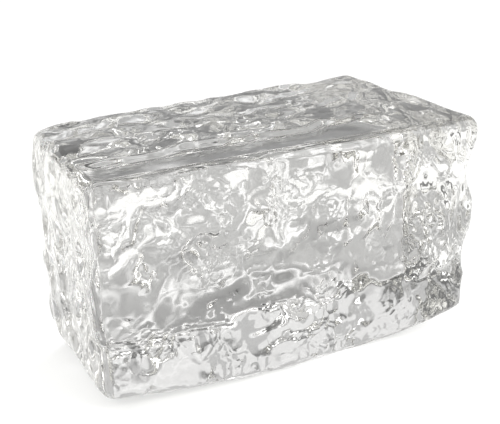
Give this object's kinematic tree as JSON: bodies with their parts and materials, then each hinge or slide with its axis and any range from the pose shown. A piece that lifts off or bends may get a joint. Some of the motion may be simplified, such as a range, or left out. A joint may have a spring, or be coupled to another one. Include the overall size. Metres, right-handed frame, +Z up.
{
  "type": "solid cast glass brick",
  "caption": "Solid clear cast glass brick with hollowed rock-like faces, softened edges and a flat ground bed, laid in walls and screens that let light through.",
  "frame": {"origin": "middle of the flat bed face under the brick", "axes": "+X along the brick, to the right in the picture; +Y from its front face to its back face; +Z up, from the bed to the top"},
  "size_m": [0.1934, 0.1095, 0.1047],
  "materials": {
    "clear_glass": "clear cast glass, fire-polished, with hollowed faces"
  },
  "bodies": {
    "root": {"glass_block": "clear_glass"}
  },
  "joints": []
}
